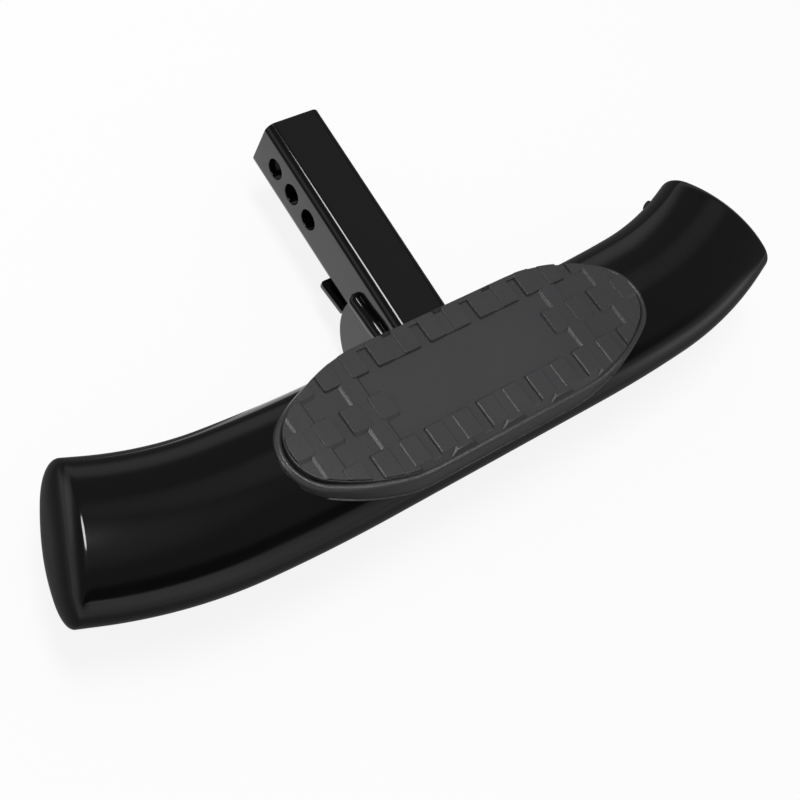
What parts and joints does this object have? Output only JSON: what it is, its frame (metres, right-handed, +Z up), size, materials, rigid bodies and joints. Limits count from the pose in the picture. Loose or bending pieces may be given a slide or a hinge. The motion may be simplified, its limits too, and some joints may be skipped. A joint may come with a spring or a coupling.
{
  "type": "hitch receiver step",
  "caption": "Curved oval-tube hitch step with a moulded tread pad, domed ends, side gussets and a square receiver shank with a row of hitch pin holes.",
  "frame": {"origin": "centre of the middle hitch pin hole, on the shank's axis", "axes": "+X along the step to its right end, as seen from behind the vehicle, +Y along the shank towards the vehicle, +Z up"},
  "size_m": [0.6872, 0.3146, 0.1199],
  "materials": {
    "powder_coat": "gloss black powder coat on steel",
    "tread_plastic": "satin moulded",
    "plug_rubber": "matte"
  },
  "bodies": {
    "root": {"receiver_shank": "powder_coat", "step_tube": "powder_coat", "left_end_cap": "powder_coat", "right_end_cap": "powder_coat", "left_gusset": "powder_coat", "right_gusset": "powder_coat", "shank_tab": "powder_coat", "gusset_beads": "powder_coat", "root_seam": "powder_coat", "step_pad": "tread_plastic", "vent_plugs": "plug_rubber"}
  },
  "joints": []
}
